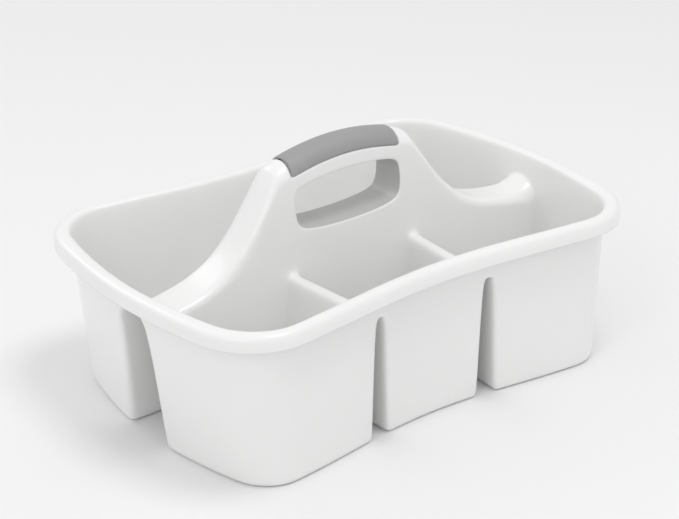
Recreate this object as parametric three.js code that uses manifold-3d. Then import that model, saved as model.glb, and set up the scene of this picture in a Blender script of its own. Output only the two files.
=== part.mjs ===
// Cleaning caddy: a one-piece moulded tray with four bins, a hollow carrying ridge down the middle,
// a soft grip over the handle bar and a liner through the hand hole.
// Millimetres, +Z up, X along the ridge. The origin is the middle of the footprint, on the surface
// that the caddy stands on; the three small bins are on the -Y side.

import * as THREE from "three";
import { mergeVertices } from "three/addons/utils/BufferGeometryUtils.js";
import Module from "manifold-3d";

const wasm = await Module();
wasm.setup();

// ---- Driving dimensions ----

// Plan of the rim's outer edge: a rounded rectangle with bowed ends and waisted sides.
const rimHalfLength = 203;
const rimHalfWidth = 147;
const rimCornerRadius = 45.5;
const endBow = 21.8; // how far the ends stand out between their corners
const sideWaist = 16.25; // how far the long sides pull in at the middle

// Heights.
const rimTop = 130;
const rimDepth = 12;
const webTop = 101; // top of the ridge's shoulders
const dividerTop = 102;

// Moulding.
const wall = 1.8;
const rimOverhang = 12.2; // from the rim's outer edge in to the wall's outer face
const wallDraft = 6.3; // how far the wall leans in from the rim's lip down to the floor
const floorEdgeRadius = 5.5;
const fitGap = 0.3; // clearance between the moulding and the two fitted pieces

// Ridge: half its thickness falls evenly with height.
const ridgeHalfAtFloor = 26;
const ridgeDraft = 0.066;
const shoulderRadius = 10;
const barRadius = 12.5;

// Handle bar: a shallow arch between two steep shoulders.
const barHalfLength = 61.5;
const barTop = 196.5;
const barDrop = 10.2;
const shoulderSpread = 37;
const shoulderPower = 1.33;

// Soft grip, hand hole and liner.
const gripHalfLength = 50.5;
const gripThickness = 2.5;
const gripSkirt = 12.5; // from the top of the bar down to the grip's lower edge
const holeHalfLength = 50;
const holeBottom = 130.5;
const holeBottomRise = 2.2; // how far the hole's lower edge curves up towards its ends
const holeTop = 172.5;
const holeTopDrop = 3.5;
const holeCornerRadius = 13;
const linerThickness = 2;

// Dividers between the three small bins. They draw together towards the front.
const dividerX = 59.6; // on the middle line of the ridge
const dividerTurn = 0.069;
const dividerHalfAtFloor = 9.6;
const dividerHalfAtTop = 6.1;
const dividerTopRadius = 4;

// Mesh fineness.
const cornerSteps = 8;
const longSideSteps = 12;
const endSteps = 6;
const profileSteps = 52;

const tall = 260; // clear above everything
const wide = 240; // clear outside everything
const lipBottom = rimTop - rimDepth;

// ---- Solids ----

// A three.js geometry as a manifold-3d solid.
function solid(geometry) {
  const bare = geometry.index ? geometry.toNonIndexed() : geometry.clone();
  bare.deleteAttribute("normal");
  bare.deleteAttribute("uv");
  const merged = mergeVertices(bare, 1e-4);
  const made = new wasm.Manifold(
    new wasm.Mesh({
      numProp: 3,
      vertProperties: merged.attributes.position.array,
      triVerts: new Uint32Array(merged.index.array),
    }),
  );
  return made;
}

// A manifold-3d solid as a three.js geometry.
function geometryOf(made) {
  const mesh = made.simplify(0.03).getMesh();
  const geometry = new THREE.BufferGeometry();
  const positions = new Float32Array(mesh.numVert * 3);
  for (let i = 0; i < mesh.numVert; i++) {
    positions.set(mesh.vertProperties.subarray(i * mesh.numProp, i * mesh.numProp + 3), i * 3);
  }
  geometry.setAttribute("position", new THREE.BufferAttribute(positions, 3));
  geometry.setIndex(new THREE.BufferAttribute(mesh.triVerts, 1));
  geometry.computeVertexNormals();
  return geometry;
}

function union(solids) {
  return solids.reduce((sum, next) => sum.add(next));
}

// Moves every vertex of a geometry.
function reshaped(geometry, move) {
  const position = geometry.attributes.position;
  const point = new THREE.Vector3();
  for (let i = 0; i < position.count; i++) {
    move(point.fromBufferAttribute(position, i));
    position.setXYZ(i, point.x, point.y, point.z);
  }
  return geometry;
}

// ---- Plan outline ----

// The rim's plan pulled in by inset, as points.
function planOutline(inset) {
  const halfLength = rimHalfLength - inset;
  const halfWidth = rimHalfWidth - inset;
  const radius = rimCornerRadius - inset;
  const cornerX = halfLength - radius;
  const cornerY = halfWidth - radius;
  const points = [];
  const side = (fromX, fromY, toX, toY, steps) => {
    for (let i = 1; i < steps; i++) {
      points.push(new THREE.Vector2(fromX, fromY).lerp(new THREE.Vector2(toX, toY), i / steps));
    }
  };
  const corner = (x, y, start) => {
    const arc = new THREE.EllipseCurve(x, y, radius, radius, start, start + Math.PI / 2);
    points.push(...arc.getPoints(cornerSteps));
  };
  corner(cornerX, cornerY, 0);
  side(cornerX, halfWidth, -cornerX, halfWidth, longSideSteps);
  corner(-cornerX, cornerY, Math.PI / 2);
  side(-halfLength, cornerY, -halfLength, -cornerY, endSteps);
  corner(-cornerX, -cornerY, Math.PI);
  side(-cornerX, -halfWidth, cornerX, -halfWidth, longSideSteps);
  corner(cornerX, -cornerY, -Math.PI / 2);
  side(halfLength, -cornerY, halfLength, cornerY, endSteps);
  return points.map(({ x, y }) => {
    const bow = 1 - (endBow / halfLength) * (y / halfWidth) ** 2;
    const waist = Math.cos((Math.min(Math.abs(x) / halfLength, 1) * Math.PI) / 2) ** 2;
    return new THREE.Vector2(x * bow, y * (1 - (sideWaist / halfWidth) * waist));
  });
}

// A solid whose plan is the outline, stepped through [inset, height] pairs.
function planSolid(profile) {
  const outlines = profile.map(([inset]) => planOutline(inset));
  const steps = profile.length - 1;
  const geometry = new THREE.ExtrudeGeometry(new THREE.Shape(outlines[0]), {
    depth: steps,
    steps,
    bevelEnabled: false,
  });
  return solid(
    reshaped(geometry, (point) => {
      const layer = Math.round(point.z);
      const index = outlines[0].findIndex(({ x, y }) => Math.hypot(x - point.x, y - point.y) < 1e-3);
      point.set(outlines[layer][index].x, outlines[layer][index].y, profile[layer][1]);
    }),
  );
}

// Inset of the wall's outer face at a height.
const wallInset = (height) => rimOverhang + wallDraft * (1 - Math.min(height / lipBottom, 1));

// The wall's faces as a profile, with a rounded edge round the floor; offset moves in to the inner face.
function wallProfile(offset, bottom, top) {
  const radius = floorEdgeRadius - offset;
  const profile = [];
  for (const turn of [0, 0.25, 0.5, 0.75, 1]) {
    const angle = (turn * Math.PI) / 2;
    const height = bottom + radius * (1 - Math.cos(angle));
    profile.push([wallInset(height) + offset + radius * (1 - Math.sin(angle)), height]);
  }
  profile.push([wallInset(lipBottom) + offset, lipBottom], [wallInset(lipBottom) + offset, top]);
  return profile;
}

// The rolled rim's outside, from its lip over the top and down to the wall's inner face.
function rimProfile(offset) {
  const outer = rimOverhang + wall - offset;
  const half = (outer - offset) / 2;
  const rise = (rimDepth - offset) * 0.62;
  const profile = [[offset + 0.8, lipBottom - (offset ? 1 : 0)]];
  for (const turn of [0, 0.17, 0.34, 0.5, 0.66, 0.83, 1]) {
    const angle = turn * Math.PI;
    profile.push([offset + half * (1 - Math.cos(angle)), rimTop - offset - rise * (1 - Math.sin(angle))]);
  }
  return profile;
}

// ---- Ridge ----

// Height of the ridge's top along its length.
function ridgeTop(x) {
  const along = Math.abs(x);
  if (along <= barHalfLength) {
    return barTop - barDrop * (along / barHalfLength) ** 2;
  }
  const fall = Math.exp(-(((along - barHalfLength) / shoulderSpread) ** shoulderPower));
  return webTop + (barTop - barDrop - webTop) * fall;
}

const ridgeHalf = (height) => ridgeHalfAtFloor - ridgeDraft * height;

// Radius of the ridge's top edges: tight at the shoulders, nearly a full round on the bar.
function ridgeRadius(x) {
  const share = (ridgeTop(x) - webTop) / (barTop - webTop);
  return shoulderRadius + (barRadius - shoulderRadius) * Math.min(share * 1.4, 1);
}

// The ridge with every face moved in by inset, from bottom up, with ends at +-halfLength.
function ridgeSolid(inset, halfLength, bottom) {
  // Layers across the ridge: [side, share of the edge radius in, share of the edge radius down].
  const edge = [0, 0.25, 0.5, 0.75, 1].map((turn) => {
    const angle = (turn * Math.PI) / 2;
    return [1 - Math.cos(angle), 1 - Math.sin(angle)];
  });
  const layers = edge.map((pair) => [-1, ...pair]).concat([...edge].reverse().map((pair) => [1, ...pair]));
  const steps = layers.length - 1;
  return solid(
    reshaped(new THREE.BoxGeometry(2 * halfLength, steps, 1, profileSteps, steps, 1), (point) => {
      const [side, share, drop] = layers[Math.round(point.y + steps / 2)];
      const radius = ridgeRadius(point.x) - inset;
      const crown = ridgeTop(point.x) - inset;
      const flank = point.z > 0 ? crown - radius : bottom;
      point.y = side * (ridgeHalf(flank) - inset - radius * share);
      point.z = point.z > 0 ? crown - radius * drop : bottom;
    }),
  );
}

// A block over the handle bar: from skirt below the bar's top up, within +-halfLength.
function barBlock(halfLength, skirt) {
  const shape = new THREE.Shape();
  const steps = 20;
  const along = (i) => halfLength * (1 - (2 * i) / steps);
  shape.moveTo(-halfLength, tall);
  for (let i = steps; i >= 0; i--) {
    shape.lineTo(along(i), ridgeTop(along(i)) - skirt);
  }
  shape.lineTo(halfLength, tall);
  return acrossSolid(shape, -wide / 2, wide / 2);
}

// A shape in the XZ plane as a solid between two Y positions, sheared along X by lean.
function acrossSolid(shape, fromY, toY, lean = 0) {
  const geometry = new THREE.ExtrudeGeometry(shape, {
    depth: toY - fromY,
    bevelEnabled: false,
    curveSegments: 10,
  });
  geometry.rotateX(Math.PI / 2);
  geometry.translate(0, toY, 0);
  reshaped(geometry, (point) => {
    point.x += lean * point.y;
  });
  return solid(geometry);
}

// The hand hole moved in by inset: a bowed bottom, round corners and an arched top.
function handHole(inset, halfThrough) {
  const right = holeHalfLength - inset;
  const bottom = holeBottom + inset;
  const heel = bottom + holeBottomRise;
  const top = holeTop - inset;
  const shoulder = top - holeTopDrop;
  const radius = holeCornerRadius - inset;
  const topRadius = radius * 0.75;
  const shape = new THREE.Shape();
  shape.moveTo(-right + radius, heel);
  shape.quadraticCurveTo(0, bottom - holeBottomRise, right - radius, heel);
  shape.absarc(right - radius, heel + radius, radius, -Math.PI / 2, 0, false);
  shape.absarc(right - topRadius, shoulder - topRadius, topRadius, 0, Math.PI * 0.45, false);
  shape.quadraticCurveTo(0, top + holeTopDrop * 0.8, -right + topRadius * 0.85, shoulder - 0.1);
  shape.absarc(-right + topRadius, shoulder - topRadius, topRadius, Math.PI * 0.55, Math.PI, false);
  shape.absarc(-right + radius, heel + radius, radius, Math.PI, Math.PI * 1.5, false);
  return acrossSolid(shape, -halfThrough, halfThrough);
}

// ---- Dividers ----

// A wedge across the front bins, with a rounded top, moved in by inset.
function dividerSolid(side, inset, bottom, fromY, toY) {
  const centreX = side * dividerX;
  const top = dividerTop - inset;
  const slope = (dividerHalfAtFloor - dividerHalfAtTop) / dividerTop;
  const half = (height) => dividerHalfAtFloor - slope * height - inset;
  const radius = dividerTopRadius - inset;
  const shape = new THREE.Shape();
  shape.moveTo(centreX - half(bottom), bottom);
  shape.lineTo(centreX + half(bottom), bottom);
  shape.absarc(centreX + half(top) - radius, top - radius, radius, 0, Math.PI / 2, false);
  shape.absarc(centreX - half(top) + radius, top - radius, radius, Math.PI / 2, Math.PI, false);
  return acrossSolid(shape, fromY, toY, side * dividerTurn);
}

// ---- The pieces ----

function caddyBody() {
  const outside = planSolid(wallProfile(0, 0, rimTop - 3));
  const inside = planSolid(wallProfile(wall, wall, tall));
  const rim = planSolid(rimProfile(0));
  const wallBlock = planSolid([
    [rimOverhang, lipBottom - 8],
    [rimOverhang, tall],
  ]);
  const rimChannel = planSolid(rimProfile(wall)).subtract(wallBlock);
  const tray = outside.add(rim).subtract(inside).subtract(rimChannel);

  const ridge = ridgeSolid(0, rimHalfLength, 0);
  const dividers = [-1, 1].map((side) => dividerSolid(side, 0, 0, -wide / 1.2, -8));
  const envelope = planSolid(wallProfile(0, 0, tall));
  const web = union([ridge, ...dividers]).intersect(envelope);

  // Under the grip the bar steps in, so its hollow does too.
  const barSkin = barBlock(gripHalfLength + 4, gripSkirt + 3).subtract(
    ridgeSolid(gripThickness + fitGap + wall, rimHalfLength, -10),
  );
  const ridgeHollow = ridgeSolid(wall, wide, -10).subtract(barSkin);
  const dividerHollows = [-1, 1].map((side) => dividerSolid(side, wall, -10, -wide, -10));
  const gripSeat = barBlock(gripHalfLength + fitGap, gripSkirt + fitGap).subtract(
    ridgeSolid(gripThickness + fitGap, rimHalfLength, -10),
  );
  return tray
    .add(web)
    .subtract(union([ridgeHollow, ...dividerHollows]))
    .subtract(gripSeat)
    .subtract(handHole(0, 60));
}

function handleGrip() {
  return barBlock(gripHalfLength, gripSkirt)
    .intersect(ridgeSolid(0, rimHalfLength, 0))
    .subtract(ridgeSolid(gripThickness, rimHalfLength, -10));
}

function handHoleLiner() {
  const sleeve = handHole(fitGap, 40).subtract(handHole(fitGap + linerThickness, 50));
  return sleeve.intersect(ridgeSolid(fitGap, rimHalfLength, 0));
}

// ---- Materials and scene ----

const whitePlastic = new THREE.MeshStandardMaterial({ color: 0xf1f1f0, roughness: 0.38, metalness: 0 });
const softGrey = new THREE.MeshStandardMaterial({ color: 0xa6a6a6, roughness: 0.6, metalness: 0 });
const linerGrey = new THREE.MeshStandardMaterial({ color: 0xb4b4b4, roughness: 0.45, metalness: 0 });

const caddy = new THREE.Group();
for (const [name, made, material] of [
  ["caddy_body", caddyBody(), whitePlastic],
  ["handle_grip", handleGrip(), softGrey],
  ["hand_hole_liner", handHoleLiner(), linerGrey],
]) {
  const mesh = new THREE.Mesh(geometryOf(made), material);
  mesh.name = name;
  caddy.add(mesh);
}

export default caddy;
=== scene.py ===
from math import cos, exp, pi, radians, sin

import bmesh
import bpy
from mathutils import Matrix, Vector


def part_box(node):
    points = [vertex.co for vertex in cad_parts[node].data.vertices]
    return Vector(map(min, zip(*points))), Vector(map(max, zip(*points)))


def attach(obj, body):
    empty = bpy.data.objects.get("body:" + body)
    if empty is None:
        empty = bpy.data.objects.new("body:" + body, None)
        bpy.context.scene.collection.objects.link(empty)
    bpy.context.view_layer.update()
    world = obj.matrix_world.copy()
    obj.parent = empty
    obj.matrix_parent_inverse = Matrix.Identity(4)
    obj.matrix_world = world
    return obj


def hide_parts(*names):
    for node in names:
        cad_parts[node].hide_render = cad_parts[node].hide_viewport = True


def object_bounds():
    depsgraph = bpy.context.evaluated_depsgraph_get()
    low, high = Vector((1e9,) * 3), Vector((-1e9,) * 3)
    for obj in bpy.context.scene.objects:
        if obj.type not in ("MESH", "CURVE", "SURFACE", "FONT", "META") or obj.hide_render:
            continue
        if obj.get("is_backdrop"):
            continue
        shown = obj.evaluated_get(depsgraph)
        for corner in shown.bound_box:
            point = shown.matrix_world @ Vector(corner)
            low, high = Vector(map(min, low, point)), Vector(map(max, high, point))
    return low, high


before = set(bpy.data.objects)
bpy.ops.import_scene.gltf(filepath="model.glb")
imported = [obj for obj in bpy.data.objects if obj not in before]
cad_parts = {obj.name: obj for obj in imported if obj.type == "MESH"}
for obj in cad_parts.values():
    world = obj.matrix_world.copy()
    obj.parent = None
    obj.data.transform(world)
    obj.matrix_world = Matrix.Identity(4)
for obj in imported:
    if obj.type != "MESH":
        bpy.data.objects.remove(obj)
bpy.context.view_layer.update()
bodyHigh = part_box("caddy_body")[1]
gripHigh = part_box("handle_grip")[1]
millimetre = 0.001  # Blender's own unit is the metre
print("frame loaded")

tray = {  # lengths are in millimetres, here and in the other pieces' dictionaries
    "halfLength": bodyHigh.x * 1000 - 0.1,
    "halfWidth": 146.9,  # before the sides are waisted
    "cornerRadius": 45.5,
    "cornerSwell": 1.02,  # makes up for the corner that subdivision pulls in
    "endBow": 21.8,
    "sideWaist": 16.25,
    "rimOverhang": 12.2,
    "wall": 1.8,
    "draft": 6.3,
    "lip": 118.0,
    "floorFillet": 4.6,
    "midLevel": 45.0,  # a ring halfway down the bins
    "webLevel": 89.0,  # where the bins branch off the shared web
    "branchDrop": 4.0,  # below the web where the ridge meets an end wall
    "branchRise": 7.0,  # above it, except near the ridge's ends
    "wallY": 118.0,  # about how far the long walls are from the middle
    "nearWallY": 60.0,  # past this a column follows the long wall, and before it the ridge
    "middleTaper": 0.25,  # how much the middle columns close up at the floor
}

divider = {
    "x": 59.6,  # distance from the middle, measured on the ridge's middle line
    "turn": 0.069,  # how fast the dividers draw together towards the front
    "half": 9.6,
    "taper": 0.0343,
    "crestTop": 102.0,
    "crestHalf": 4.5,
    "crestAtWall": 1.3,  # how much the crest rises at the front wall
    "crestAtRidge": 102.6,
    "fillet": 4.0,  # distance to the column or row beside a corner, which sets how round it is
    "ridgeFillet": 7.0,
    "innerFillet": 3.2,
}

ridge = {
    "half": 26.0,
    "taper": 0.066,
    "fillet": 7.0,
    "barTop": gripHigh.z * 1000,
    "barDrop": 10.2,
    "barHalfLength": 61.5,
    "shoulderSpread": 37.0,
    "shoulderPower": 1.33,
    "webTop": 101.0,
    "shoulderRadius": 6.5,
    "barRadius": 12.5,
    "radiusGain": 1.4,  # how soon the edges reach the bar's radius on the way up
    "spurFrom": 125.0,  # from here out the rows are spaced as spurRows says
    "barTo": 62.0,  # and from here in as barRows says
    "seatHalfLength": gripHigh.x * 1000 + 0.4,
    "seatSkirt": 12.8,
    "seatDepth": 2.9,
    "seatStep": 1.2,  # the row under the seat's edge lies this much lower
    "seatFloor": 0.3,  # the seat's lower inside corner lies this much higher
    "seatWall": 0.7,  # the column past the seat's end lies this much further out
    "endDepth": 20.5,  # from the rim's outside to the end wall's inside
    "endX": 182.5,  # where the section is taken for the rows on the end walls
    "endFillet": 9.0,  # how far the ridge climbs the end walls
    "endFilletPower": 2.4,
    "endFilletReach": 9.5,
    "endRounding": 12.0,  # how much rounder its edges are where it meets them
    "endHold": 5.5,  # first column in from the end wall, on the ridge
    "binEndHold": 6.5,  # and in the bins
    "secondHold": 2.2,  # the second column in, as a multiple of the first
}

handHole = {
    "halfLength": 50.0,
    "bottom": 130.5,
    "rise": 2.2,  # how much the bottom edge curves up, at riseX
    "riseX": 37.0,
    "riseTo": 40.0,
    "top": 172.5,
    "sag": 3.4,  # how much the top edge curves down, at sagX
    "sagX": 40.0,
    "sagTo": 42.0,
    "lip": 1.2,
    "below": 3.2,  # the rows below, inside and above the hole
    "lowRow": 13.0,
    "highRow": 10.0,
    "above": 2.8,
    "beside": 3.0,
    "lowCorner": (2.6, 2.8),
    "highCorner": (1.8, 2.2),
}

rim = {
    "rise": 3.8,  # first ring above the web
    "riseTo": 104.0,
    "wallTo": 116.0,
    "least": 0.02,  # nothing comes closer than this to the outer size
    "roll": [  # how far out from the wall's inside, and how high
        (1.0, 126.5), (2.4, 129.8), (6.8, 130.7), (11.6, 129.9),
        (13.9, 126.6), (14.15, 120.5), (13.9, 118.1),
    ],
}

# Columns run along the caddy and rows across it. Five lists hold distances from the middle, with None
# for what a function works out, and barRows and spurRows hold turns up the ridge's section.
sideWallColumns = [None, None, None, 125.0, 112.0, 100.0, 88.0, 77.0]
sideRidgeColumns = [None, None, None, 153.0, 133.0, 115.0, 99.0, 84.0]
middleColumns = [None, 36.0, 18.0, 0.0]
endRows = [None, None, None, 77.0, 50.0]
dividerRows = [None, None, 93.0, 72.0, 48.0]
barRows = [0.24, 0.405, 0.437, 0.589, 0.747, 0.868, 0.9, 0.985, 1.0, 1.12, 1.5, 2.0]
spurRows = [1.0, 1.1, 1.2, 1.3, 1.4, 1.5, 1.6, 1.68, 1.76, 1.84, 1.92, 2.0]

sideCells = 9
crestCells = 3
cornerAngles = [45, 67.5, 90]
binRows = 6
ridgeCells = 2 * len(barRows)
columnCount = 2 * sideCells + 2 * crestCells + 2 * len(middleColumns)
rowCount = 2 * binRows + ridgeCells
midColumn = columnCount // 2


def ridgeHalf(z):
    return ridge["half"] - ridge["taper"] * z


def dividerHalf(z):
    return divider["half"] - divider["taper"] * z


def wallInset(z):
    lean = 1 - min(max(z, 0) / tray["lip"], 1)
    return tray["rimOverhang"] + tray["wall"] + tray["draft"] * lean


def bowed(x, y, inset):  # the plan's bowed ends and waisted sides
    a, b = tray["halfLength"] - inset, tray["halfWidth"] - inset
    waist = cos(min(abs(x) / a, 1) * pi / 2) ** 2
    return x * (1 - tray["endBow"] / a * (y / b) ** 2), y * (1 - tray["sideWaist"] / b * waist)


def longSide(x, side, inset):  # a point on a long wall at a given x
    a, b = tray["halfLength"] - inset, tray["halfWidth"] - inset
    return bowed(x / (1 - tray["endBow"] / a), side * b, inset)


def endSide(y, side, inset):
    return bowed(side * (tray["halfLength"] - inset), y, inset)


def cornerSpot(angle, sideX, sideY, inset):
    radius = tray["cornerRadius"] - inset
    x = tray["halfLength"] - inset - radius + radius * cos(radians(angle)) * tray["cornerSwell"]
    y = tray["halfWidth"] - inset - radius + radius * sin(radians(angle)) * tray["cornerSwell"]
    return bowed(sideX * x, sideY * y, inset)


def nearEnd(x):  # 0 along the ridge, 1 where it meets an end wall
    toWall = tray["halfLength"] - ridge["endDepth"] - abs(x)
    return 1 - min(max(toWall, 0) / ridge["endFilletReach"], 1)


def ridgeTop(x):
    along = abs(x)
    low = ridge["barTop"] - ridge["barDrop"]
    if along <= ridge["barHalfLength"]:
        return ridge["barTop"] - ridge["barDrop"] * (along / ridge["barHalfLength"]) ** 2
    past = (along - ridge["barHalfLength"]) / ridge["shoulderSpread"]
    fall = exp(-(past ** ridge["shoulderPower"]))
    endLift = ridge["endFillet"] * nearEnd(x) ** ridge["endFilletPower"]
    return ridge["webTop"] + (low - ridge["webTop"]) * fall + endLift


def smoothStep(low, high, value):
    t = min(max((value - low) / (high - low), 0), 1)
    return t * t * (3 - 2 * t)


def ridgeSection(x, turn, inset=0.0):
    # half of the ridge's cross-section: turn 0..1 climbs the flank, 1..2 rounds over to the middle
    top = ridgeTop(x) - inset
    climbed = (ridgeTop(x) - ridge["webTop"]) / (ridge["barTop"] - ridge["webTop"])
    share = min(climbed * ridge["radiusGain"], 1)
    radius = ridge["shoulderRadius"] + (ridge["barRadius"] - ridge["shoulderRadius"]) * share - inset
    radius += ridge["endRounding"] * nearEnd(x)
    flank = top - radius
    if turn <= 1:
        z = tray["webLevel"] + (flank - tray["webLevel"]) * turn
        return ridgeHalf(z) - inset, z
    half = ridgeHalf(flank) - inset
    arc = radius * pi / 2
    walked = (turn - 1) * (arc + half - radius)
    if walked < arc:
        angle = walked / radius
        return half - radius * (1 - cos(angle)), flank + radius * sin(angle)
    return half - radius - (walked - arc), top


def columnSide(i):  # which half of the caddy, and the column counted from its end
    return (-1, i) if i <= midColumn else (1, columnCount - i)


def wallSpot(i, j, inset, z):  # a point on the outer wall for an edge vertex of the grid
    sideX, column = columnSide(i)
    sideY, row = (-1, j) if j <= rowCount // 2 else (1, rowCount - j)
    if column == 0 and row <= 2:
        return cornerSpot(90 - cornerAngles[row], sideX, sideY, inset)
    if row == 0 and column <= 2:
        return cornerSpot(cornerAngles[column], sideX, sideY, inset)
    if row == 0:
        return longSide(sideX * columnX(column, z, tray["wallY"]), sideY, inset)
    return endSide(sideY * rowY(row, z, True), sideX, inset)


def columnX(column, z, y):  # distance of a column from the middle, y away from the ridge's middle line
    middle = divider["x"] - divider["turn"] * abs(y)
    side, inner = middle + dividerHalf(z), middle - dividerHalf(z)
    nearWall = abs(y) > tray["nearWallY"]
    if column < sideCells - 1:
        return (sideWallColumns if nearWall else sideRidgeColumns)[column]
    if column < sideCells + 4:
        crest = divider["crestHalf"]
        held = side + (divider["fillet"] if nearWall else divider["ridgeFillet"])
        return [held, side, middle + crest, middle - crest, inner][column - sideCells + 1]
    spot = middleColumns[column - sideCells - 4]
    if spot is None:
        return inner - divider["innerFillet"]
    taper = tray["middleTaper"]
    return spot * (1 - taper + taper * min(z / tray["webLevel"], 1))


def rowY(row, z, onEnd):
    if row < binRows - 1:
        return (endRows if onEnd else dividerRows)[row]
    if row == binRows - 1:
        return ridgeHalf(z) + ridge["fillet"]
    if row == binRows:
        return ridgeHalf(z)
    return ridgeSection(ridge["endX"], spurRows[row - binRows - 1])[0]


def ridgeColumnX(column, z, sideY, holding):  # the same at the ridge's flank, with the end wall's columns
    if column <= 2:
        atWall = abs(endSide(sideY * ridgeHalf(z), -1, wallInset(z))[0])
        return atWall - [0, holding, ridge["secondHold"] * holding][column]
    return columnX(column, z, ridgeHalf(z))


def branchLevel(column, onRidge):  # the height at which a bin leaves the web
    if onRidge and column <= 4:
        return tray["webLevel"] - (tray["branchDrop"] if column <= 1 else 0)
    return tray["webLevel"] + tray["branchRise"]


def dividerSpot(x, row, z):  # along a divider's flank, from the front wall to the ridge
    front = longSide(x, -1, wallInset(z))[1]
    if row == 0:
        return front
    if row == 1:
        return front + divider["fillet"]
    return -rowY(row, z, False)


def ridgeSpot(i, j):
    sideX, column = columnSide(i)
    row = j - binRows
    sideY = -1 if row <= ridgeCells // 2 else 1
    step = row if sideY < 0 else ridgeCells - row
    x = ridgeColumnX(column, tray["webLevel"], sideY, ridge["endHold"])
    isCrest = sideCells < column < sideCells + crestCells
    if step == 0:
        z = divider["crestAtRidge"] if isCrest and sideY < 0 else branchLevel(column, True)
        y = ridgeHalf(z)
        if column == 0:
            x = abs(endSide(y, -1, wallInset(z))[0])
        return Vector((sideX * x, sideY * y, z))
    mix = smoothStep(ridge["spurFrom"], ridge["barTo"], x)
    turn = barRows[step - 1] * mix + spurRows[step - 1] * (1 - mix)
    onSeat = column >= sideCells + 4
    if onSeat and step >= 8:
        x = min(x, ridge["seatHalfLength"]) if column > sideCells + 4 else ridge["seatHalfLength"]
    if column == sideCells + 3 and step >= 8:
        x = ridge["seatHalfLength"] + ridge["seatWall"]
    if onSeat and step >= 10:
        y, z = ridgeSection(x, turn, ridge["seatDepth"])
        if step == 10:
            z = ridgeTop(x) - ridge["seatSkirt"] + ridge["seatFloor"]
            y = ridgeHalf(z) - ridge["seatDepth"]
    elif onSeat and step >= 8:
        z = ridgeTop(x) - ridge["seatSkirt"] - (ridge["seatStep"] if step == 8 else 0)
        y = ridgeHalf(z)
    elif onSeat and step >= 2 or column == sideCells + 3 and 2 <= step <= 7:
        return holeSpot(sideX, sideY, x, column, step)
    else:
        y, z = ridgeSection(x, turn)
    if column == 0:
        x = abs(endSide(y, -1, wallInset(z))[0])
    return Vector((sideX * x, sideY * y, z))


def holeSpot(sideX, sideY, x, column, step):  # rows 2 to 7 run round the hand hole
    hole = handHole
    bottom = hole["bottom"] + hole["rise"] * (min(x, hole["riseTo"]) / hole["riseX"]) ** 2
    top = hole["top"] - hole["sag"] * (min(x, hole["sagTo"]) / hole["sagX"]) ** 2
    heights = [bottom - hole["below"], bottom, bottom + hole["lowRow"]]
    heights += [top - hole["highRow"], top, top + hole["above"]]
    z = heights[step - 2]
    if column == sideCells + 4:
        x = hole["halfLength"]
        if step == 3:
            x, z = x - hole["lowCorner"][0], bottom + hole["lowCorner"][1]
        if step == 6:
            x, z = x - hole["highCorner"][0], top - hole["highCorner"][1]
    elif column == sideCells + 3:
        x = hole["halfLength"] + hole["beside"]
    return Vector((sideX * x, sideY * ridgeHalf(z), z))


def crestSpot(i, j):
    sideX, column = columnSide(i)
    z = divider["crestTop"] + (divider["crestAtWall"] if j == 0 else 0)
    level = tray["webLevel"] + tray["branchRise"]
    x = columnX(column, level, tray["wallY"])
    y = dividerSpot(x, j, z)
    return Vector((sideX * columnX(column, level, y), y, z))


def binSpot(i, j, block, z, shrink):
    # a point of a bin's shell at height z: its four edges are set out and the rest blends between them
    i0, i1, j0, j1 = block
    isBack = j0 > rowCount // 2
    wallRow, ridgeRow = (j1, j0) if isBack else (j0, j1)
    sideY = 1 if isBack else -1
    inset = wallInset(z) + shrink

    def besideDivider(c, x):  # the floor's inset moves the two columns next to a divider
        if isBack or c not in (i0, i0 + 1, i1 - 1, i1):
            return x
        return x + (shrink if columnSide(c)[1] <= sideCells else -shrink)

    def wallEdge(c):
        sideX, column = columnSide(c)
        if column <= 2:
            return Vector(cornerSpot(cornerAngles[column], sideX, sideY, inset))
        x = besideDivider(c, columnX(column, z, tray["wallY"]))
        return Vector(longSide(sideX * x, sideY, inset))

    def ridgeEdge(c):
        sideX, column = columnSide(c)
        x = ridgeColumnX(column, z, sideY, ridge["binEndHold"])
        x = x - shrink if column <= 1 else besideDivider(c, x)
        return Vector((sideX * x, sideY * (ridgeHalf(z) + shrink)))

    def acrossEdge(c, r):
        sideX, column = columnSide(c)
        row = rowCount - r if isBack else r
        if r in (wallRow, ridgeRow):
            return wallEdge(c) if r == wallRow else ridgeEdge(c)
        if column == 0:
            if row <= 2:
                return Vector(cornerSpot(90 - cornerAngles[row], sideX, sideY, inset))
            return Vector(endSide(sideY * (rowY(row, z, True) + beside(row)), sideX, inset))
        y = dividerSpot(columnX(column, z, tray["wallY"]), row, z)
        x = besideDivider(c, columnX(column, z, y))
        return Vector((sideX * x, y + (shrink if row == 1 else -beside(row))))

    def beside(row):
        return shrink if row == binRows - 1 else 0

    a, b = ridgeEdge(i0), ridgeEdge(i1)
    u = (ridgeEdge(i).x - a.x) / (b.x - a.x)
    left, right = acrossEdge(i0, j), acrossEdge(i1, j)
    v = (left.y - wallEdge(i0).y) / (a.y - wallEdge(i0).y)
    if j in (wallRow, ridgeRow):
        spot = wallEdge(i) if j == wallRow else ridgeEdge(i)
    elif i in (i0, i1):
        spot = acrossEdge(i, j)
    else:
        w0, w1 = wallEdge(i0), wallEdge(i1)
        lengthwise = wallEdge(i) * (1 - v) + ridgeEdge(i) * v
        crosswise = left * (1 - u) + right * u
        flat = (w0 * (1 - u) + w1 * u) * (1 - v) + (a * (1 - u) + b * u) * v
        spot = lengthwise + crosswise - flat
    return Vector((spot.x, spot.y, z))


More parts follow.
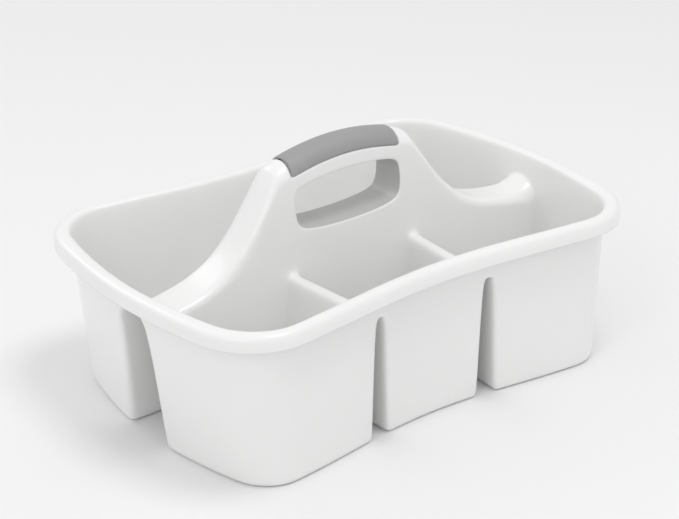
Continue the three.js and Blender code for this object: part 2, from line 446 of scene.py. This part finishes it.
def makeTray():
    shell = bmesh.new()
    bmesh.ops.create_grid(shell, x_segments=columnCount, y_segments=rowCount, size=0.5)
    columns = shell.verts.layers.int.new("column")
    rows = shell.verts.layers.int.new("row")
    level = tray["webLevel"]
    d0, d1 = sideCells, sideCells + crestCells
    blocks = [
        (0, d0, 0, binRows),
        (d1, columnCount - d1, 0, binRows),
        (columnCount - d0, columnCount, 0, binRows),
        (0, columnCount, rowCount - binRows, rowCount),
    ]

    def inBlock(block, i, j):
        return block[0] <= i <= block[1] and block[2] <= j <= block[3]

    for v in shell.verts:
        v[columns] = i = round((v.co.x + 0.5) * columnCount)
        v[rows] = j = round((v.co.y + 0.5) * rowCount)
        block = next((b for b in blocks if inBlock(b, i, j)), None)
        if binRows <= j <= rowCount - binRows:
            v.co = ridgeSpot(i, j)
        elif block:
            v.co = binSpot(i, j, block, branchLevel(columnSide(i)[1], False), 0)
        else:
            v.co = crestSpot(i, j)

    # each bin is pushed down out of the web, ring by ring, then its floor is inset
    floor = tray["wall"]
    fillet = tray["floorFillet"]
    steps = [(tray["midLevel"], 0), (floor + fillet, 0), (floor, 0), (floor, fillet)]
    for block in blocks:
        faces = [f for f in shell.faces if all(inBlock(block, v[columns], v[rows]) for v in f.verts)]
        for z, shrink in steps:
            grown = bmesh.ops.extrude_face_region(shell, geom=faces)["geom"]
            bmesh.ops.delete(shell, geom=faces, context="FACES")
            faces = [g for g in grown if isinstance(g, bmesh.types.BMFace)]
            for v in grown:
                if isinstance(v, bmesh.types.BMVert):
                    v.co = binSpot(v[columns], v[rows], block, z, shrink)
    print("bins pushed down")

    # the hand hole is opened in both flanks and its edge turned inwards
    holeColumns = range(d1 + 1, columnCount - d1 - 1)
    holeRows = [binRows + 3, binRows + 4, binRows + 5]
    holeRows += [rowCount - 1 - r for r in holeRows]
    cut = []
    for f in shell.faces:
        faceRows = [v[rows] for v in f.verts]
        faceColumns = [v[columns] for v in f.verts]
        isFlank = max(faceRows) > min(faceRows) and max(faceColumns) > min(faceColumns)
        if isFlank and min(faceRows) in holeRows and min(faceColumns) in holeColumns:
            cut.append(f)
    bmesh.ops.delete(shell, geom=cut, context="FACES")

    def onRidge(v):
        return binRows < v[rows] < rowCount - binRows and 0 < v[columns] < columnCount

    openEdges = [e for e in shell.edges if e.is_boundary]
    lip = [e for e in openEdges if all(onRidge(v) for v in e.verts)]
    outline = [e for e in openEdges if e not in lip]
    grown = bmesh.ops.extrude_edge_only(shell, edges=lip)["geom"]
    for v in grown:
        if isinstance(v, bmesh.types.BMVert):
            v.co.y -= handHole["lip"] * (1 if v.co.y > 0 else -1)
    print("hand hole opened")

    # the wall climbs from the web to the rim, which rolls over and down
    for out, height in [(None, None), (None, rim["wallTo"])] + rim["roll"]:
        grown = bmesh.ops.extrude_edge_only(shell, edges=outline)["geom"]
        outline = [g for g in grown if isinstance(g, bmesh.types.BMEdge)]
        for v in grown:
            if isinstance(v, bmesh.types.BMVert):
                z = max(rim["riseTo"], v.co.z + rim["rise"]) if height is None else height
                inset = wallInset(z) if out is None else tray["rimOverhang"] + tray["wall"] - out
                v.co = (*wallSpot(v[columns], v[rows], max(inset, rim["least"]), level), z)
    bmesh.ops.recalc_face_normals(shell, faces=shell.faces)
    if sum(f.normal.z * f.calc_area() for f in shell.faces) < 0:
        bmesh.ops.reverse_faces(shell, faces=shell.faces)
    bmesh.ops.scale(shell, verts=shell.verts, vec=(millimetre,) * 3)
    print("tray cage:", len(shell.faces), "faces")
    return finishPiece(shell, "trayMoulding", 2, tray["wall"] * millimetre)


def finishPiece(shell, name, levels, thickness, skinFirst=False):
    mesh = bpy.data.meshes.new(name)
    for f in shell.faces:
        f.smooth = True
    shell.to_mesh(mesh)
    shell.free()
    piece = bpy.data.objects.new(name, mesh)
    bpy.context.scene.collection.objects.link(piece)
    kinds = ["SOLIDIFY", "SUBSURF"] if skinFirst else ["SUBSURF", "SOLIDIFY"]
    for kind in kinds:
        step = piece.modifiers.new(kind.lower(), kind)
        if kind == "SUBSURF":
            step.levels = step.render_levels = levels
        else:
            step.thickness = thickness
            step.offset = -1
            step.use_even_offset = True
    return piece


trayPiece = makeTray()
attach(trayPiece, "root")
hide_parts("caddy_body")

softGrip = {
    "halfLength": 50.7,
    "skirt": 12.7,
    "sunk": 0.05,  # how far its outside lies under the bar's own curve
    "thickness": 2.3,
    "cornerRadius": 2.0,
    "endHold": 1.3,  # a holding column this close to each end
    "skirtSpread": 3.0,  # keeps the rows apart where they meet the skirt's edge
    "columns": 20,
}
gripTurns = [0.0, 0.05, 0.18, 0.34, 0.5, 0.68, 0.85, 1.0]  # from the skirt's edge up to the crown


def makeGrip():
    cover = bmesh.new()
    across = 2 * (len(gripTurns) - 1)
    columns = softGrip["columns"]
    bmesh.ops.create_grid(cover, x_segments=columns, y_segments=across, size=0.5)
    for v in cover.verts:
        i, j = round((v.co.x + 0.5) * columns), round((v.co.y + 0.5) * across)
        share = (i / columns - 0.5) * 2
        x = softGrip["halfLength"] * share
        if i in (1, columns - 1):
            x = (softGrip["halfLength"] - softGrip["endHold"]) * (1 if x > 0 else -1)
        side, step = (-1, j) if j < across // 2 else (1, across - j)
        turn = gripTurns[step]
        past = max(abs(x) - softGrip["halfLength"] + softGrip["cornerRadius"], 0)
        corner = softGrip["cornerRadius"] - (softGrip["cornerRadius"] ** 2 - past ** 2) ** 0.5
        y, z = ridgeSection(x, 1 + turn, softGrip["sunk"])
        edge = ridgeTop(x) - softGrip["skirt"] + corner
        z = max(z, edge + turn * softGrip["skirtSpread"])
        v.co = (x, side * y, z)
    bmesh.ops.recalc_face_normals(cover, faces=cover.faces)
    if sum(f.normal.z * f.calc_area() for f in cover.faces) < 0:
        bmesh.ops.reverse_faces(cover, faces=cover.faces)
    bmesh.ops.scale(cover, verts=cover.verts, vec=(millimetre,) * 3)
    return finishPiece(cover, "softGrip", 2, softGrip["thickness"] * millimetre, True)


gripPiece = makeGrip()
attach(gripPiece, "root")
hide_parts("handle_grip")
print("grip made")

liner = {"proud": 0.15, "thickness": 1.9, "sunk": 1.35}
linerRows = [1.0, 0.93, 0.5, 0.0, -0.5, -0.93, -1.0]  # shares of the way from the middle to the front


def holeRing():  # the hand hole's edge, from its lower left corner round to where it began
    first, last = sideCells + 4, columnCount - sideCells - 4
    ring = [(i, 3) for i in range(first, last + 1)] + [(last, 4), (last, 5)]
    ring += [(i, 6) for i in range(last, first - 1, -1)] + [(first, 5), (first, 4)]
    spots = []
    for i, step in ring:
        sideX, column = columnSide(i)
        x = ridgeColumnX(column, tray["webLevel"], -1, ridge["endHold"])
        spots.append(holeSpot(sideX, -1, x, column, step))
    return spots


def makeLiner():
    sleeve = bmesh.new()
    spots = holeRing()
    middle = (handHole["bottom"] + handHole["top"]) / 2
    bmesh.ops.create_circle(sleeve, segments=len(spots), radius=1)
    sleeve.verts.ensure_lookup_table()
    for v, spot in zip(sleeve.verts[:], spots):
        x = spot.x * (1 - liner["proud"] / handHole["halfLength"])
        z = middle + (spot.z - middle) * (1 - liner["proud"] / (handHole["top"] - middle))
        v.co = (x, -(ridgeHalf(z) - liner["sunk"]), z)
    edges = sleeve.edges[:]
    for share in linerRows[1:]:
        grown = bmesh.ops.extrude_edge_only(sleeve, edges=edges)["geom"]
        edges = [g for g in grown if isinstance(g, bmesh.types.BMEdge)]
        for v in grown:
            if isinstance(v, bmesh.types.BMVert):
                v.co.y = -(ridgeHalf(v.co.z) - liner["sunk"]) * share
    bmesh.ops.recalc_face_normals(sleeve, faces=sleeve.faces)
    top = max(sleeve.faces, key=lambda f: f.calc_center_median().z)
    if top.normal.z > 0:  # the skin grows away from the hole, behind the moulding's lip
        bmesh.ops.reverse_faces(sleeve, faces=sleeve.faces)
    bmesh.ops.scale(sleeve, verts=sleeve.verts, vec=(millimetre,) * 3)
    return finishPiece(sleeve, "handHoleLiner", 2, liner["thickness"] * millimetre)


linerPiece = makeLiner()
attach(linerPiece, "root")
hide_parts("hand_hole_liner")
print("liner made")

resin = {  # what the three plastics share
    "ior": 1.49,
    "coatRoughness": 0.14,
    "low": 0.3,  # the part of a noise that carries the variation
    "high": 0.7,
    "clouds": 9,
    "polish": 35,
    "rubs": 260,
    "rubStretch": (0.06, 1, 1),
    "rubLow": 0.66,
    "rubHigh": 0.72,
}

finishes = {
    "satinWhitePlastic": {
        "light": (0.905, 0.905, 0.9), "dark": (0.885, 0.885, 0.88),
        "smooth": 0.29, "rough": 0.35, "coat": 0.35,
        "grain": 210, "grainDepth": 0.000008, "waves": 13, "waveDepth": 0.00003, "scuffs": 0.04,
    },
    "softTouchGrey": {
        "light": (0.36, 0.36, 0.36), "dark": (0.325, 0.325, 0.325),
        "smooth": 0.46, "rough": 0.6, "coat": 0.0,
        "grain": 2300, "grainDepth": 0.00005, "waves": 25, "waveDepth": 0.00005, "scuffs": 0.05,
    },
    # the hand-hole sleeve: its grey is partly painted shade, darkened to the shaded tone inside the hand
    # hole, on top of the sleeve's own grey
    "linerGreyPaintedShade": {
        "light": (0.53, 0.53, 0.525), "dark": (0.49, 0.49, 0.485),
        "smooth": 0.34, "rough": 0.46, "coat": 0.1,
        "grain": 1500, "grainDepth": 0.00001, "waves": 20, "waveDepth": 0.00004, "scuffs": 0.05,
    },
}


def plastic(name, light, dark, smooth, rough, coat, grain, grainDepth, waves, waveDepth, scuffs):
    material = bpy.data.materials.new(name)
    material.use_nodes = True
    tree = material.node_tree
    shader = tree.nodes["Principled BSDF"]
    shader.inputs["IOR"].default_value = resin["ior"]
    shader.inputs["Coat Weight"].default_value = coat
    shader.inputs["Coat Roughness"].default_value = resin["coatRoughness"]
    where = tree.nodes.new("ShaderNodeTexCoord").outputs["Object"]

    def noise(scale, detail, stretch=None):
        node = tree.nodes.new("ShaderNodeTexNoise")
        node.inputs["Scale"].default_value = scale
        node.inputs["Detail"].default_value = detail
        source = where
        if stretch:
            mapping = tree.nodes.new("ShaderNodeMapping")
            mapping.inputs["Scale"].default_value = stretch
            tree.links.new(where, mapping.inputs["Vector"])
            source = mapping.outputs["Vector"]
        tree.links.new(source, node.inputs["Vector"])
        return node.outputs["Fac"]

    def ranged(value, low, high, out0, out1):
        node = tree.nodes.new("ShaderNodeMapRange")
        for key, number in zip(["From Min", "From Max", "To Min", "To Max"], [low, high, out0, out1]):
            node.inputs[key].default_value = number
        tree.links.new(value, node.inputs["Value"])
        return node.outputs["Result"]

    tint = tree.nodes.new("ShaderNodeMix")  # cloudy variation of the resin's colour
    tint.data_type = "RGBA"
    tint.inputs["A"].default_value = (*dark, 1)
    tint.inputs["B"].default_value = (*light, 1)
    clouds = ranged(noise(resin["clouds"], 2), resin["low"], resin["high"], 0, 1)
    tree.links.new(clouds, tint.inputs["Factor"])
    tree.links.new(tint.outputs["Result"], shader.inputs["Base Color"])

    polish = ranged(noise(resin["polish"], 2), resin["low"], resin["high"], smooth, rough)
    rubs = noise(resin["rubs"], 2, resin["rubStretch"])
    marks = ranged(rubs, resin["rubLow"], resin["rubHigh"], 0, scuffs)  # fine rubbed streaks
    total = tree.nodes.new("ShaderNodeMath")
    total.operation = "ADD"
    tree.links.new(polish, total.inputs[0])
    tree.links.new(marks, total.inputs[1])
    tree.links.new(total.outputs["Value"], shader.inputs["Roughness"])

    below = None
    for scale, detail, depth in [(waves, 1, waveDepth), (grain, 2, grainDepth)]:
        bump = tree.nodes.new("ShaderNodeBump")
        bump.inputs["Strength"].default_value = 1
        bump.inputs["Distance"].default_value = depth
        tree.links.new(noise(scale, detail), bump.inputs["Height"])
        if below:
            tree.links.new(below, bump.inputs["Normal"])
        below = bump.outputs["Normal"]
    tree.links.new(below, shader.inputs["Normal"])
    return material


# the sleeve's grey finish carries painted shade for the inside of the hand hole
finished = [(trayPiece, "satinWhitePlastic"), (gripPiece, "softTouchGrey"), (linerPiece, "linerGreyPaintedShade")]
for piece, finish in finished:
    piece.data.materials.append(plastic(finish, **finishes[finish]))
print("plastics ready")

studio = {  # metres, degrees and watts, and the lens in millimetres
    "floorSize": 6, "floorGap": 0.0002, "floorColour": (0.9, 0.9, 0.9), "floorRoughness": 0.9,
    "air": 0.74, "lightsAim": 0.08, "cameraDrop": 0.008,
    "lens": 104.0, "distance": 1.536, "azimuth": -35.73, "elevation": 24.73, "roll": -2.2,
    "lights": [
        ("keyLight", (0.2, -0.55, 1.9), 0.6, 8.5),
        ("sideLight", (-1.6, -0.7, 1.3), 0.9, 3.5),
        ("backLight", (-0.4, 1.6, 1.3), 0.8, 3),
    ],
}


def makeStudio():
    ground = bmesh.new()
    bmesh.ops.create_grid(ground, x_segments=1, y_segments=1, size=studio["floorSize"])
    bmesh.ops.translate(ground, verts=ground.verts, vec=(0, 0, -studio["floorGap"]))
    mesh = bpy.data.meshes.new("studioFloor")
    ground.to_mesh(mesh)
    ground.free()
    floor = bpy.data.objects.new("studioFloor", mesh)
    bpy.context.scene.collection.objects.link(floor)
    pale = bpy.data.materials.new("paleFloor")
    pale.use_nodes = True
    shader = pale.node_tree.nodes["Principled BSDF"]
    shader.inputs["Base Color"].default_value = (*studio["floorColour"], 1)
    shader.inputs["Roughness"].default_value = studio["floorRoughness"]
    mesh.materials.append(pale)
    floor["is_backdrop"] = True
    world = bpy.data.worlds.new("studioAir")
    bpy.context.scene.world = world
    world.use_nodes = True
    air = world.node_tree.nodes["Background"]
    air.inputs["Color"].default_value = (1, 1, 1, 1)
    air.inputs["Strength"].default_value = studio["air"]
    for name, spot, size, power in studio["lights"]:
        light = bpy.data.lights.new(name, "AREA")
        light.size = size
        light.energy = power
        lamp = bpy.data.objects.new(name, light)
        lamp.location = spot
        lamp.rotation_mode = "QUATERNION"
        aim = Vector((0, 0, studio["lightsAim"])) - Vector(spot)
        lamp.rotation_quaternion = aim.to_track_quat("-Z", "Y")
        bpy.context.scene.collection.objects.link(lamp)
    azimuth, elevation = radians(studio["azimuth"]), radians(studio["elevation"])
    back = Vector((sin(azimuth) * cos(elevation), -cos(azimuth) * cos(elevation), sin(elevation)))
    low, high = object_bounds()
    target = Vector((0, 0, (low.z + high.z) / 2 - studio["cameraDrop"]))
    camera = bpy.data.objects.new("studioCamera", bpy.data.cameras.new("studioCamera"))
    camera.data.lens = studio["lens"]
    camera.rotation_mode = "QUATERNION"
    turn = Matrix.Rotation(radians(studio["roll"]), 4, "Z").to_quaternion()
    camera.rotation_quaternion = back.to_track_quat("Z", "Y") @ turn
    camera.location = target + back * studio["distance"]
    bpy.context.scene.collection.objects.link(camera)
    bpy.context.scene.camera = camera
    bpy.context.scene.view_settings.view_transform = "Standard"


makeStudio()
print("studio ready")
